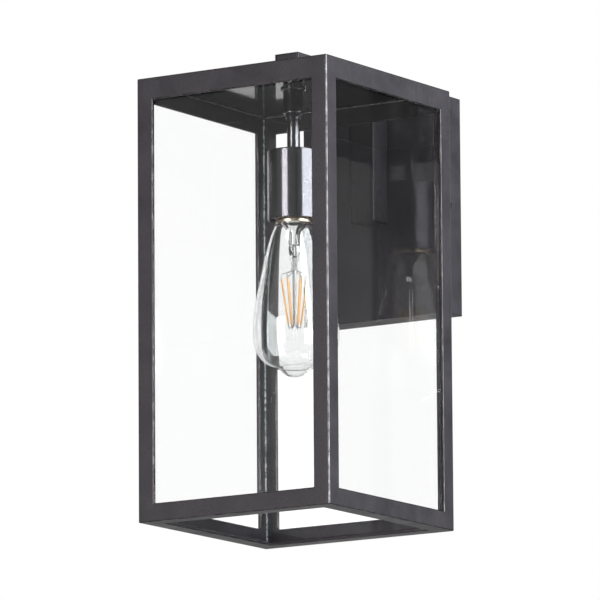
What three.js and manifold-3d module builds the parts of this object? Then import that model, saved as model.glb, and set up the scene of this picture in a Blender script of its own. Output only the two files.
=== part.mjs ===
// Outdoor wall lantern: a glazed angle-iron box that hangs from a square-tube arm on a wall canopy.
// Millimetres, +Z up. The origin is on the wall, at the middle of the canopy; the lantern faces -Y.

import * as THREE from 'three';
import { mergeVertices } from 'three/addons/utils/BufferGeometryUtils.js';
import Module from 'manifold-3d';

const wasm = await Module();
wasm.setup();

// ---------------------------------------------------------------- driving dimensions

// Lantern frame, welded from equal angle and a flat roof plate
const bodyWidth = 165.5;
const bodyDepth = 170;
const bodyHeight = 330;        // bottom rails to the top of the roof plate
const angleLeg = 13.5;
const angleThickness = 3;
const roofThickness = 3;
const cornerRadius = 1;        // outer corner of the posts and of the roof plate

// Glass
const glassThickness = 3;
const glassBedding = 0.3;      // silicone film between glass and metal
const glassSideGap = 0.5;      // between one pane and the next

// Arm: square tube, a beam over the roof and a riser down the canopy
const armTube = 20;
const armWall = 1.5;
const armDrop = 112;           // top of the beam to the bottom of the riser
const capThickness = 1.5;
const bodyToArm = 6;           // back of the lantern to the riser
const weldGap = 0.15;          // each side of the mitre
const gasketThickness = 2.5;

// Canopy and its bracket
const canopyWidth = 124;
const canopyHeight = 165;
const canopyDepth = 22;
const canopyWall = 1.5;
const canopyRise = 4;          // canopy top above the roof plate
const bracketHeight = 24;
const bracketThickness = 1.8;
const bracketGap = 0.4;        // ear to the canopy's side wall
const slotWidth = 5;
const slotInner = 32;          // slots take box screws 70 to 89 mm apart
const slotOuter = 47.5;
const sideScrewInset = 5.2;    // behind the canopy's front face
const sideScrewRadius = 1.8;
const sideScrewLength = 8;
const sideScrewHead = 2.8;
const sideScrewHeadHeight = 1.8;
const groundScrewX = 22;
const groundScrewHead = 4;
const wireHoleRadius = 6;
const wireHoleHeight = 30;     // above the canopy's middle

// Threaded tube (1/8-IP) and what is screwed on it
const pipeRadius = 4.8;
const pipeBore = 3.4;
const threadGap = 0.3;
const washerThickness = 1.2;
const nutWall = 1.9;           // thinnest metal round the thread
const nutHeight = 4;
const collarFlange = 4.2;      // each of these four is counted outwards from the thread
const couplingWall = 2.4;
const locknutWall = 0.9;
const bridgeWall = 0.9;
const collarHeight = 2;
const couplingHeight = 17;
const locknutHeight = 3.5;
const stemVisible = 24.5;      // locknut to the socket cup
const pipeEndGap = 1;          // between the two tubes inside the coupling

// Socket cup and socket
const cupWall = 1;
const cupShoulder = 1;
const cupClearance = 0.65;     // bridge to the inside of the cup
const bridgeThickness = 1;
const bridgeLeg = 12;          // how far its legs reach down the socket
const socketInset = 2.5;       // socket above the cup's rim
const socketWall = 1.5;
const socketRoofThickness = 11;
const leadSpace = 6.7;         // socket to the end of the stem
const contactRadius = 4;
const contactHeight = 2.7;
const shellGap = 0.4;
const shellWall = 0.4;
const terminalX = 9;
const terminalRadius = 3;

// Lamp: E26 base, ST64 clear envelope, six LED sticks
const lampLength = 142;
const lampRadius = 31.2;
const skirtShown = 2.5;        // lamp base below the cup's rim
const baseRadius = 12.9;
const skirtFlare = 0.7;        // skirt wider than the thread, on the radius
const baseLength = 24.5;
const baseTip = 3;             // insulator and solder contact
const solderHeight = 0.8;
const skirtLength = 3.6;
const baseWall = 0.5;
const glassWall = 0.8;
const neckGap = 0.4;
const mountRadius = 4.3;
const mountDrop = 25.6;        // base rim to the end of the glass mount
const rodRadius = 1.4;
const stickCount = 6;
const stickRadius = 0.75;
const stickDrop = 39.6;        // base rim to the top of the sticks
const stickLength = 37;
const stickTopSpread = 9.8;
const stickBottomSpread = 4.4;
const lampWireRadius = 0.35;

// Insulated leads
const leadRadius = 0.9;
const leadSpread = 1.7;        // half the distance between the two leads
const connectorRadius = 5;
const connectorLength = 20;
const connectorX = 20;
const connectorHeight = 46;    // lower end, above the canopy's middle

const gap = 0.3;               // general clearance between separate pieces

// ---------------------------------------------------------------- derived places

const riserBack = -canopyDepth;
const riserFront = riserBack - armTube;
const bodyBack = riserFront - bodyToArm;
const lampY = bodyBack - bodyDepth / 2;
const roofTop = canopyHeight / 2 - canopyRise;
const roofUnder = roofTop - roofThickness;
const bodyBottom = roofTop - bodyHeight;
const beamBottom = roofTop + gasketThickness;
const beamTop = beamBottom + armTube;
const beamFloor = beamBottom + armWall;
const beamFront = lampY - armTube / 2;
const riserBottom = beamTop - armDrop;
const nippleTop = beamFloor + washerThickness + nutHeight + 2;

const collarBottom = roofUnder - collarHeight;
const couplingBottom = collarBottom - couplingHeight;
const locknutBottom = couplingBottom - locknutHeight;
const cupTop = locknutBottom - stemVisible;
const pipeJoint = couplingBottom + couplingHeight / 2;
const holeRadius = pipeRadius + threadGap;
const nutFlat = 2 * (holeRadius + nutWall);

// Down from the top of the cup to the lamp
const bridgeTop = cupTop - cupWall;
const socketNutTop = bridgeTop - bridgeThickness;
const stemEnd = socketNutTop - nutHeight - gap;
const socketTop = stemEnd - leadSpace;
const socketRoof = socketTop - socketRoofThickness;
const lampTop = socketRoof - contactHeight - gap;
const lampTip = lampTop - lampLength;
const shellTop = lampTop - baseTip;
const baseBottom = shellTop - baseLength;
const cupBottom = baseBottom + skirtShown;
const socketBottom = cupBottom + socketInset;

// Outwards from the lamp's base to the cup
const baseSkirt = baseRadius + skirtFlare;
const shellInner = baseRadius + shellGap;
const shellOuter = shellInner + shellWall;
const socketBore = shellOuter + gap;
const socketRadius = socketBore + socketWall;
const bridgeInner = socketRadius + gap;
const bridgeOuter = bridgeInner + bridgeThickness;
const bridgeHalfWidth = holeRadius + bridgeWall;
const cupInner = Math.hypot(bridgeOuter, bridgeHalfWidth) + cupClearance;
const cupRadius = cupInner + cupWall;

// ---------------------------------------------------------------- finishes

const finishes = {
  frame: { color: 0x4a464a, roughness: 0.55, metalness: 0.5 },
  glass: { color: 0xe8f2f0, roughness: 0.03, metalness: 0, transparent: true, opacity: 0.25 },
  darkChrome: { color: 0x3b3c40, roughness: 0.12, metalness: 1 },
  zinc: { color: 0xb4b6b8, roughness: 0.35, metalness: 1 },
  brass: { color: 0xc79a52, roughness: 0.25, metalness: 1 },
  rubber: { color: 0x1c1c1e, roughness: 0.85, metalness: 0 },
  porcelain: { color: 0xe9e6dd, roughness: 0.25, metalness: 0 },
  blackGlass: { color: 0x17171a, roughness: 0.15, metalness: 0 },
  phosphor: { color: 0xf2b04a, roughness: 0.6, metalness: 0 },
  leadBlack: { color: 0x161616, roughness: 0.5, metalness: 0 },
  leadWhite: { color: 0xeeeeea, roughness: 0.5, metalness: 0 },
  leadGreen: { color: 0x2d7a3e, roughness: 0.5, metalness: 0 },
  connector: { color: 0xd97a2b, roughness: 0.45, metalness: 0 },
};

// ---------------------------------------------------------------- geometry helpers

// A block from its lowest corner and its size
function block(x, y, z, width, depth, height) {
  const geometry = new THREE.BoxGeometry(width, depth, height);
  return geometry.translate(x + width / 2, y + depth / 2, z + height / 2);
}

// A flat outline in XY, raised along Z
function raised(shape, z, height, steps = 12) {
  const geometry = new THREE.ExtrudeGeometry(shape, { depth: height, bevelEnabled: false, curveSegments: steps });
  return geometry.translate(0, 0, z);
}

// A profile of [radius, z] points turned about Z; a profile that leaves the axis closes on itself
function turned(profile, segments = 28) {
  const closed = profile[0][0] > 0 || profile[profile.length - 1][0] > 0;
  const points = profile.map(([radius, z]) => new THREE.Vector2(radius, z));
  if (closed) points.push(points[0].clone());
  let area = 0;
  points.forEach((point, i) => {
    const next = points[(i + 1) % points.length];
    area += point.x * next.y - next.x * point.y;
  });
  if (area < 0) points.reverse();
  return new THREE.LatheGeometry(points, segments).rotateX(Math.PI / 2);
}

// A straight round bar or tube along Z
function tube(inner, outer, z, height, segments = 24) {
  return turned([[inner, z], [outer, z], [outer, z + height], [inner, z + height]], segments);
}

function rod(radius, z, height, segments = 24) {
  return turned([[0, z], [radius, z], [radius, z + height], [0, z + height]], segments);
}

function hexNut(z, height) {
  const corner = nutFlat / Math.sqrt(3);
  const shape = new THREE.Shape();
  for (let i = 0; i < 6; i++) {
    const angle = i * Math.PI / 3;
    shape[i ? 'lineTo' : 'moveTo'](corner * Math.cos(angle), corner * Math.sin(angle));
  }
  shape.closePath();
  shape.holes.push(new THREE.Path().absarc(0, 0, holeRadius, 0, 2 * Math.PI, true));
  return raised(shape, z, height);
}

// A round wire along a smooth curve through the given points
function wire(points, radius, steps, sides = 8) {
  const shape = new THREE.Shape();
  for (let i = 0; i < sides; i++) {
    const angle = i * 2 * Math.PI / sides;
    shape[i ? 'lineTo' : 'moveTo'](radius * Math.cos(angle), radius * Math.sin(angle));
  }
  shape.closePath();
  const route = new THREE.CatmullRomCurve3(points.map((p) => new THREE.Vector3(...p)), false, 'centripetal');
  return new THREE.ExtrudeGeometry(shape, { steps, bevelEnabled: false, extrudePath: route });
}

// A straight round bar between two points
function strut(start, end, radius, sides = 8) {
  const from = new THREE.Vector3(...start);
  const to = new THREE.Vector3(...end);
  const geometry = new THREE.CylinderGeometry(radius, radius, from.distanceTo(to), sides);
  const turn = new THREE.Quaternion().setFromUnitVectors(new THREE.Vector3(0, 1, 0), to.clone().sub(from).normalize());
  geometry.applyQuaternion(turn);
  const middle = from.lerp(to, 0.5);
  return geometry.translate(middle.x, middle.y, middle.z);
}

function toManifold(source) {
  const geometry = (source.index ? source.toNonIndexed() : source).clone();
  geometry.deleteAttribute('normal');
  geometry.deleteAttribute('uv');
  const merged = mergeVertices(geometry, 1e-4);
  return new wasm.Manifold(new wasm.Mesh({
    numProp: 3,
    vertProperties: new Float32Array(merged.attributes.position.array),
    triVerts: new Uint32Array(merged.index.array),
  }));
}

function fromManifold(solid) {
  const mesh = solid.getMesh();
  const geometry = new THREE.BufferGeometry();
  geometry.setAttribute('position', new THREE.BufferAttribute(new Float32Array(mesh.vertProperties), 3));
  geometry.setIndex(new THREE.BufferAttribute(new Uint32Array(mesh.triVerts), 1));
  geometry.computeVertexNormals();
  return geometry;
}

function joined(first, ...others) {
  return fromManifold(others.reduce((solid, other) => solid.add(toManifold(other)), toManifold(first)));
}

function cut(body, ...tools) {
  return fromManifold(tools.reduce((solid, tool) => solid.subtract(toManifold(tool)), toManifold(body)));
}

// ---------------------------------------------------------------- scene helpers

const lantern = new THREE.Group();

function add(group, name, geometry, finish) {
  const mesh = new THREE.Mesh(geometry, new THREE.MeshStandardMaterial(finishes[finish]));
  mesh.name = name;
  group.add(mesh);
}

function groupAt(x, y, z) {
  const group = new THREE.Group();
  group.position.set(x, y, z);
  lantern.add(group);
  return group;
}

// ---------------------------------------------------------------- frame

// Frame, roof and glass stand in a group whose origin is the middle of the bottom
const frame = groupAt(0, lampY, bodyBottom);
const halfWidth = bodyWidth / 2;
const halfDepth = bodyDepth / 2;
const railUnderside = bodyHeight - roofThickness - angleLeg;
const postHeight = bodyHeight - roofThickness;

// A quarter circle on the outer corner whose signs are sx and sy, from the X side to the Y side
function cornerArc(sx, sy) {
  const points = [];
  for (let i = 0; i <= 4; i++) {
    const angle = i * Math.PI / 8;
    points.push(new THREE.Vector2(
      sx * (halfWidth - cornerRadius + cornerRadius * Math.cos(angle)),
      sy * (halfDepth - cornerRadius + cornerRadius * Math.sin(angle)),
    ));
  }
  return points;
}

function postShape(sx, sy) {
  const inner = [
    [halfWidth - angleLeg, halfDepth],
    [halfWidth - angleLeg, halfDepth - angleThickness],
    [halfWidth - angleThickness, halfDepth - angleThickness],
    [halfWidth - angleThickness, halfDepth - angleLeg],
    [halfWidth, halfDepth - angleLeg],
  ];
  return new THREE.Shape([...cornerArc(sx, sy), ...inner.map(([x, y]) => new THREE.Vector2(sx * x, sy * y))]);
}

for (const [side, sx] of [['left', -1], ['right', 1]]) {
  for (const [end, sy] of [['front', -1], ['back', 1]]) {
    add(frame, `post_${end}_${side}`, raised(postShape(sx, sy), 0, postHeight), 'frame');
  }
}

const railLength = bodyWidth - 2 * angleLeg;
const sideRailLength = bodyDepth - 2 * angleLeg;

for (const [end, sy] of [['front', -1], ['back', 1]]) {
  const outer = sy < 0 ? -halfDepth : halfDepth - angleThickness;
  const shelf = sy < 0 ? -halfDepth : halfDepth - angleLeg;
  const shelfInner = sy < 0 ? -halfDepth + angleThickness : halfDepth - angleLeg;
  const shelfDepth = angleLeg - angleThickness;
  add(frame, `top_rail_${end}`,
    block(-railLength / 2, outer, railUnderside, railLength, angleThickness, angleLeg), 'frame');
  add(frame, `bottom_rail_${end}`, joined(
    block(-railLength / 2, outer, 0, railLength, angleThickness, angleLeg),
    block(-railLength / 2, shelf, 0, railLength, angleLeg, angleThickness),
    block(-halfWidth + angleThickness, shelfInner, 0, bodyWidth - 2 * angleThickness, shelfDepth, angleThickness),
  ), 'frame');
}

for (const [side, sx] of [['left', -1], ['right', 1]]) {
  const outer = sx < 0 ? -halfWidth : halfWidth - angleThickness;
  const shelf = sx < 0 ? -halfWidth : halfWidth - angleLeg;
  add(frame, `top_rail_${side}`,
    block(outer, -sideRailLength / 2, railUnderside, angleThickness, sideRailLength, angleLeg), 'frame');
  add(frame, `bottom_rail_${side}`, joined(
    block(outer, -sideRailLength / 2, 0, angleThickness, sideRailLength, angleLeg),
    block(shelf, -sideRailLength / 2, 0, angleLeg, sideRailLength, angleThickness),
  ), 'frame');
}

// Roof plate, with a hole for the threaded tube
const roofShape = new THREE.Shape([
  ...cornerArc(1, 1),
  ...cornerArc(-1, 1).reverse(),
  ...cornerArc(-1, -1),
  ...cornerArc(1, -1).reverse(),
]);
roofShape.holes.push(new THREE.Path().absarc(0, 0, holeRadius, 0, 2 * Math.PI, true));
add(frame, 'roof_plate', raised(roofShape, bodyHeight - roofThickness, roofThickness), 'frame');

// ---------------------------------------------------------------- glass

const paneBottom = angleThickness + glassBedding;
const paneHeight = bodyHeight - roofThickness - glassSideGap - paneBottom;
const paneWidth = bodyWidth - 2 * (angleThickness + glassSideGap);
const paneInset = angleThickness + glassBedding;
const sidePaneLength = bodyDepth - 2 * (paneInset + glassThickness + glassSideGap);

add(frame, 'pane_front',
  block(-paneWidth / 2, -halfDepth + paneInset, paneBottom, paneWidth, glassThickness, paneHeight), 'glass');
add(frame, 'pane_back',
  block(-paneWidth / 2, halfDepth - paneInset - glassThickness, paneBottom, paneWidth, glassThickness, paneHeight),
  'glass');
add(frame, 'pane_left',
  block(-halfWidth + paneInset, -sidePaneLength / 2, paneBottom, glassThickness, sidePaneLength, paneHeight),
  'glass');
add(frame, 'pane_right',
  block(halfWidth - paneInset - glassThickness, -sidePaneLength / 2, paneBottom,
    glassThickness, sidePaneLength, paneHeight),
  'glass');

// ---------------------------------------------------------------- arm

const arm = groupAt(0, 0, 0);
const halfTube = armTube / 2;
const tubeBore = armTube - 2 * armWall;
const armReach = riserBack - beamFront;

// A wedge whose sloping face runs from the inner to the outer corner of the mitre, moved along Y
function mitreWedge(offset, side) {
  const shape = new THREE.Shape([
    new THREE.Vector2(riserFront - armTube, beamTop - 2 * armTube),
    new THREE.Vector2(riserBack + armTube, beamTop + armTube),
    new THREE.Vector2(side > 0 ? riserBack + armTube : riserFront - armTube,
      side > 0 ? beamTop - 2 * armTube : beamTop + armTube),
  ]);
  const geometry = new THREE.ExtrudeGeometry(shape, { depth: 2 * armTube, bevelEnabled: false });
  geometry.applyMatrix4(new THREE.Matrix4().set(0, 0, 1, -armTube, 1, 0, 0, offset, 0, 1, 0, 0, 0, 0, 0, 1));
  return geometry;
}

function pipeHole(z, height) {
  return rod(holeRadius, z, height).translate(0, lampY, 0);
}

function wireHole(y, depth) {
  return rod(wireHoleRadius, 0, depth).rotateX(-Math.PI / 2).translate(0, y, wireHoleHeight);
}

const beamStart = beamFront + capThickness;
add(arm, 'arm_beam', cut(
  block(-halfTube, beamStart, beamBottom, armTube, armReach - capThickness, armTube),
  block(-tubeBore / 2, beamStart - 1, beamFloor, tubeBore, armReach + 2, tubeBore),
  mitreWedge(-weldGap, 1),
  pipeHole(beamBottom - 1, armWall + 2),
), 'frame');

const riserStart = riserBottom + capThickness;
add(arm, 'arm_riser', cut(
  block(-halfTube, riserFront, riserStart, armTube, armTube, armDrop - capThickness),
  block(-tubeBore / 2, riserFront + armWall, riserStart - 1, tubeBore, tubeBore, armDrop + 2),
  mitreWedge(weldGap, -1),
  wireHole(riserBack - armWall - 1, armWall + 2),
), 'frame');

add(arm, 'beam_end_cap', block(-halfTube, beamFront, beamBottom, armTube, capThickness, armTube), 'frame');
add(arm, 'riser_end_cap', block(-halfTube, riserFront, riserBottom, armTube, armTube, capThickness), 'frame');

add(arm, 'roof_gasket', cut(
  block(-halfTube, beamFront, roofTop, armTube, armTube, gasketThickness),
  pipeHole(roofTop - 1, gasketThickness + 2),
), 'rubber');

// ---------------------------------------------------------------- canopy and bracket

const wall = groupAt(0, 0, 0);
const canopyInner = canopyWidth / 2 - canopyWall;
const canopyFloor = riserBack + canopyWall;
const sideScrewY = riserBack + sideScrewInset;
const earOuter = canopyInner - bracketGap;

function sideScrewHole(sx, radius) {
  const from = sx * (earOuter - 2 * bracketThickness);
  const to = sx * (canopyWidth / 2 + 1);
  return strut([from, sideScrewY, 0], [to, sideScrewY, 0], radius, 24);
}

add(wall, 'canopy', cut(
  block(-canopyWidth / 2, riserBack, -canopyHeight / 2, canopyWidth, canopyDepth, canopyHeight),
  block(-canopyInner, canopyFloor, -canopyHeight / 2 + canopyWall,
    2 * canopyInner, canopyDepth, canopyHeight - 2 * canopyWall),
  wireHole(riserBack - 1, canopyWall + 2),
  sideScrewHole(-1, sideScrewRadius + gap),
  sideScrewHole(1, sideScrewRadius + gap),
), 'frame');

// A slot through the bracket's web, round at both ends
function boxScrewSlot(sx) {
  const radius = slotWidth / 2;
  const shape = new THREE.Shape();
  shape.absarc(slotInner + radius, 0, radius, Math.PI / 2, 3 * Math.PI / 2, false);
  shape.absarc(slotOuter - radius, 0, radius, -Math.PI / 2, Math.PI / 2, false);
  shape.closePath();
  const geometry = raised(shape, -1, bracketThickness + 2, 8).rotateX(Math.PI / 2);
  return sx > 0 ? geometry : geometry.rotateY(Math.PI);
}

const earFront = canopyFloor + gap;
const groundScrewShank = 1.8;
add(wall, 'mounting_bracket', cut(
  block(-earOuter, earFront, -bracketHeight / 2, 2 * earOuter, -earFront, bracketHeight),
  block(-earOuter + bracketThickness, earFront - 1, -bracketHeight / 2 - 1,
    2 * (earOuter - bracketThickness), 1 - earFront - bracketThickness, bracketHeight + 2),
  boxScrewSlot(-1),
  boxScrewSlot(1),
  sideScrewHole(-1, sideScrewRadius + gap),
  sideScrewHole(1, sideScrewRadius + gap),
  rod(groundScrewShank + gap, -1, bracketThickness + 2, 24).rotateX(Math.PI / 2).translate(groundScrewX, 0, 0),
), 'zinc');

// Pan-head screw along +Z: the head sits on z = 0 and the shank goes down
function panScrew(headRadius, headHeight, shankRadius, shankLength) {
  return turned([
    [0, -shankLength], [shankRadius, -shankLength], [shankRadius, 0], [headRadius, 0],
    [headRadius, headHeight * 0.5], [headRadius * 0.7, headHeight], [0, headHeight],
  ], 24);
}

for (const [side, sx] of [['left', -1], ['right', 1]]) {
  const screw = panScrew(sideScrewHead, sideScrewHeadHeight, sideScrewRadius, sideScrewLength);
  add(wall, `canopy_screw_${side}`,
    screw.rotateY(sx * Math.PI / 2).translate(sx * canopyWidth / 2, sideScrewY, 0), 'frame');
}

add(wall, 'ground_screw',
  panScrew(groundScrewHead, 2, groundScrewShank, bracketThickness - gap)
    .rotateX(Math.PI / 2).translate(groundScrewX, -bracketThickness, 0), 'leadGreen');

// ---------------------------------------------------------------- suspension and socket

const suspension = groupAt(0, lampY, 0);
const trapped = armTube / 2 - Math.max(armWall, capThickness) - gap;
const nippleEnd = pipeJoint + pipeEndGap / 2;

// The washer and a square nut fill the beam's bore, so the walls keep the nut from turning
const trappedNut = new THREE.Shape([[-1, -1], [1, -1], [1, 1], [-1, 1]].map(
  ([x, y]) => new THREE.Vector2(x * trapped, y * trapped)));
trappedNut.holes.push(new THREE.Path().absarc(0, 0, holeRadius, 0, 2 * Math.PI, true));
add(suspension, 'roof_nipple', tube(pipeBore, pipeRadius, nippleEnd, nippleTop - nippleEnd), 'zinc');
add(suspension, 'nipple_washer', tube(holeRadius, trapped, beamFloor, washerThickness), 'zinc');
add(suspension, 'nipple_nut', raised(trappedNut, beamFloor + washerThickness, nutHeight), 'zinc');

const collarRadius = holeRadius + collarFlange;
const collarEdge = collarHeight / 2;
add(suspension, 'ceiling_collar', turned([
  [holeRadius, collarBottom], [collarRadius - collarEdge, collarBottom], [collarRadius, collarBottom + collarEdge],
  [collarRadius, roofUnder], [holeRadius, roofUnder],
]), 'darkChrome');
add(suspension, 'coupling',
  tube(holeRadius, holeRadius + couplingWall, couplingBottom, couplingHeight), 'darkChrome');
const locknutRadius = holeRadius + locknutWall;
const locknutEdge = locknutWall * 0.6;
add(suspension, 'stem_locknut', turned([
  [holeRadius, locknutBottom], [locknutRadius - locknutEdge, locknutBottom],
  [locknutRadius, locknutBottom + locknutEdge], [locknutRadius, couplingBottom - locknutEdge],
  [locknutRadius - locknutEdge, couplingBottom], [holeRadius, couplingBottom],
]), 'darkChrome');
add(suspension, 'stem', tube(pipeBore, pipeRadius, stemEnd, pipeJoint - pipeEndGap / 2 - stemEnd), 'darkChrome');

// Cup: a spun shell, closed on top round the stem, open below
add(suspension, 'socket_cup', turned([
  [holeRadius, cupTop], [cupRadius - cupShoulder, cupTop], [cupRadius, cupTop - cupShoulder],
  [cupRadius, cupBottom], [cupInner, cupBottom], [cupInner, cupTop - cupShoulder - cupWall / 2],
  [cupRadius - cupShoulder - cupWall / 2, cupTop - cupWall], [holeRadius, cupTop - cupWall],
], 48), 'darkChrome');

// Bridge: a strap on the stem whose two legs hold the socket
const bridgeLegEnd = socketTop - bridgeLeg;
add(suspension, 'socket_bridge', cut(
  block(-bridgeOuter, -bridgeHalfWidth, bridgeLegEnd,
    2 * bridgeOuter, 2 * bridgeHalfWidth, bridgeTop - bridgeLegEnd),
  block(-bridgeInner, -bridgeHalfWidth - 1, bridgeLegEnd - 1,
    2 * bridgeInner, 2 * bridgeHalfWidth + 2, socketNutTop - bridgeLegEnd + 1),
  rod(holeRadius, socketNutTop - 1, bridgeThickness + 2),
), 'zinc');
add(suspension, 'socket_nut', hexNut(socketNutTop - nutHeight, nutHeight), 'zinc');

// Socket: a porcelain body round a brass screw shell, with the centre contact in its roof
add(suspension, 'socket_body', turned([
  [0, socketRoof], [socketBore, socketRoof], [socketBore, socketBottom], [socketRadius, socketBottom],
  [socketRadius, socketTop - 1], [socketRadius - 1, socketTop], [0, socketTop],
], 40), 'porcelain');
add(suspension, 'socket_shell',
  tube(shellInner, shellOuter, socketBottom + gap, socketRoof - socketBottom - 2 * gap, 40), 'brass');
add(suspension, 'centre_contact', turned([
  [0, socketRoof], [contactRadius, socketRoof], [contactRadius, socketRoof - 0.6],
  [contactRadius * 0.6, socketRoof - contactHeight], [0, socketRoof - contactHeight],
], 24), 'brass');

for (const [pole, sx] of [['live', 1], ['neutral', -1]]) {
  add(suspension, `terminal_screw_${pole}`, turned([
    [0, socketTop], [terminalRadius, socketTop], [terminalRadius, socketTop + 1.2],
    [terminalRadius - 0.6, socketTop + 1.8], [0, socketTop + 1.8],
  ], 20).translate(sx * terminalX, 0, 0), sx > 0 ? 'brass' : 'zinc');
}

// ---------------------------------------------------------------- lamp

const lamp = groupAt(0, lampY, 0);
const glassTop = baseBottom + skirtLength;
const neckRadius = baseRadius - baseWall - neckGap;
const bulbHeight = baseBottom - lampTip;

// Envelope outline from the neck to the tip: a long flare, a round shoulder and a small rounded point
const envelope = new THREE.Path();
envelope.moveTo(neckRadius, glassTop);
envelope.lineTo(neckRadius, baseBottom - gap);
envelope.lineTo(neckRadius + 1.5, baseBottom - gap - 0.6);
envelope.bezierCurveTo(lampRadius * 0.62, baseBottom - bulbHeight * 0.09,
  lampRadius * 0.74, baseBottom - bulbHeight * 0.28, lampRadius * 0.87, baseBottom - bulbHeight * 0.43);
envelope.bezierCurveTo(lampRadius * 0.97, baseBottom - bulbHeight * 0.56,
  lampRadius * 1.03, baseBottom - bulbHeight * 0.68, lampRadius * 0.97, baseBottom - bulbHeight * 0.79);
envelope.bezierCurveTo(lampRadius * 0.92, baseBottom - bulbHeight * 0.87,
  lampRadius * 0.66, baseBottom - bulbHeight * 0.93, lampRadius * 0.38, baseBottom - bulbHeight * 0.945);
envelope.quadraticCurveTo(lampRadius * 0.22, lampTip, 0, lampTip);
const outside = envelope.getPoints(5).map((p) => [p.x, p.y]);

// The inside follows the outside, one wall thickness in
const inside = outside.map(([radius, z], i) => {
  const before = outside[Math.max(i - 1, 0)];
  const after = outside[Math.min(i + 1, outside.length - 1)];
  const along = Math.hypot(after[0] - before[0], after[1] - before[1]);
  const offset = [(after[1] - before[1]) / along * glassWall, -(after[0] - before[0]) / along * glassWall];
  return [Math.max(radius + offset[0], 0), z + offset[1]];
});
inside[0] = [neckRadius - glassWall, glassTop];
inside[inside.length - 1] = [0, lampTip + glassWall];
add(lamp, 'lamp_glass', turned([...outside, ...inside.reverse()].map(([r, z]) => [Math.max(r, 0), z])), 'glass');

// Base: rolled brass shell with a skirt, black glass insulator and solder contact
add(lamp, 'lamp_base', turned([
  [baseSkirt, baseBottom], [baseSkirt, baseBottom + skirtLength - 0.6], [baseRadius, baseBottom + skirtLength],
  [baseRadius, shellTop - 2], [baseRadius - 2.4, shellTop],
  [baseRadius - 4, shellTop], [baseRadius - 4, shellTop - baseWall],
  [baseRadius - 2.6, shellTop - baseWall], [baseRadius - baseWall, shellTop - 2.3],
  [baseRadius - baseWall, baseBottom],
], 40), 'brass');
const contactFoot = lampTop - solderHeight;
add(lamp, 'lamp_insulator', turned([
  [0, shellTop], [baseRadius - 3, shellTop], [5, contactFoot], [0, contactFoot],
], 24), 'blackGlass');
add(lamp, 'lamp_contact', turned([
  [0, contactFoot], [4.6, contactFoot], [3.8, lampTop], [0, lampTop],
], 24), 'zinc');

// Glass mount fused into the neck, drawn out into a thin centre rod
const mountTop = glassTop - 2;
const mountEnd = baseBottom - mountDrop;
const stickTop = baseBottom - stickDrop;
const stickBottom = stickTop - stickLength;
const rodEnd = stickBottom + 1;
add(lamp, 'lamp_mount', turned([
  [0, mountTop], [neckRadius - glassWall - gap, mountTop], [mountRadius + 1, mountTop - 7],
  [mountRadius, mountTop - 11], [mountRadius, mountEnd + 3], [rodRadius, mountEnd],
  [rodRadius, rodEnd], [0, rodEnd],
], 20), 'glass');

// Point on the ring of stick ends: the sticks lean in towards the bottom
function stickPoint(index, spread, z) {
  const angle = (index + 0.5) * 2 * Math.PI / stickCount;
  return [spread * Math.cos(angle), spread * Math.sin(angle), z];
}

for (let i = 0; i < stickCount; i++) {
  add(lamp, `filament_${i + 1}`, strut(
    stickPoint(i, stickTopSpread, stickTop), stickPoint(i, stickBottomSpread, stickBottom), stickRadius), 'phosphor');
}

// Two feed wires from the pinch of the mount to a stick on each side
for (const [name, index] of [['a', 1], ['b', 4]]) {
  const start = stickPoint(index, mountRadius + lampWireRadius + gap, mountEnd + 4);
  const bend = stickPoint(index, stickTopSpread, stickTop + 4);
  const end = stickPoint(index, stickTopSpread, stickTop + gap);
  add(lamp, `lamp_wire_${name}`, wire([start, bend, end], lampWireRadius, 8, 6), 'zinc');
}

// ---------------------------------------------------------------- leads

const leads = groupAt(0, 0, 0);
const beamRun = nippleTop + 4;
const riserMiddle = (riserFront + riserBack) / 2;
const wiringY = -canopyDepth / 2;

for (const [pole, sx, finish] of [['live', 1, 'leadBlack'], ['neutral', -1, 'leadWhite']]) {
  const x = sx * leadSpread;
  const connector = sx * connectorX;
  add(leads, `lead_${pole}`, wire([
    [sx * (terminalX - terminalRadius - gap), lampY, socketTop + leadRadius + gap],
    [sx * 4, lampY, socketTop + 2],
    [x, lampY, stemEnd],
    [x, lampY, stemEnd + 20],
    [x, lampY, beamFloor + 2],
    [x, lampY + 1.5, beamRun - 3],
    [x, lampY + 8, beamRun],
    [x, lampY + 40, beamRun],
    [x, riserMiddle - 8, beamRun],
    [x, riserMiddle - 1, beamRun - 6],
    [x, riserMiddle, beamRun - 20],
    [x, riserMiddle, wireHoleHeight + 12],
    [x, riserMiddle + 4, wireHoleHeight + 3],
    [x, riserBack, wireHoleHeight],
    [x + sx * 4, wiringY, wireHoleHeight],
    [connector - sx * 2, wiringY, wireHoleHeight + 4],
    [connector, wiringY, connectorHeight - gap],
  ], leadRadius, 60, 6), finish);
  add(leads, `wire_connector_${pole}`, turned([
    [0, connectorHeight], [connectorRadius, connectorHeight], [connectorRadius, connectorHeight + 4],
    [connectorRadius - 1.5, connectorHeight + connectorLength - 1.5],
    [connectorRadius - 3, connectorHeight + connectorLength], [0, connectorHeight + connectorLength],
  ], 16).translate(connector, wiringY, 0), 'connector');
}

// Earth lead, from beside the ground screw to the back of the canopy's front plate
const earthY = -bracketThickness - leadRadius - gap;
add(leads, 'lead_earth', wire([
  [groundScrewX, earthY, groundScrewHead + gap],
  [groundScrewX + 1, earthY - 1, groundScrewHead + 6],
  [groundScrewX + 8, wiringY, bracketHeight / 2 + 6],
  [groundScrewX + 16, wiringY - 3, bracketHeight / 2 + 10],
  [groundScrewX + 18, canopyFloor + leadRadius + gap, bracketHeight / 2 + 8],
], leadRadius, 20, 6), 'leadGreen');

export default lantern;
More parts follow.
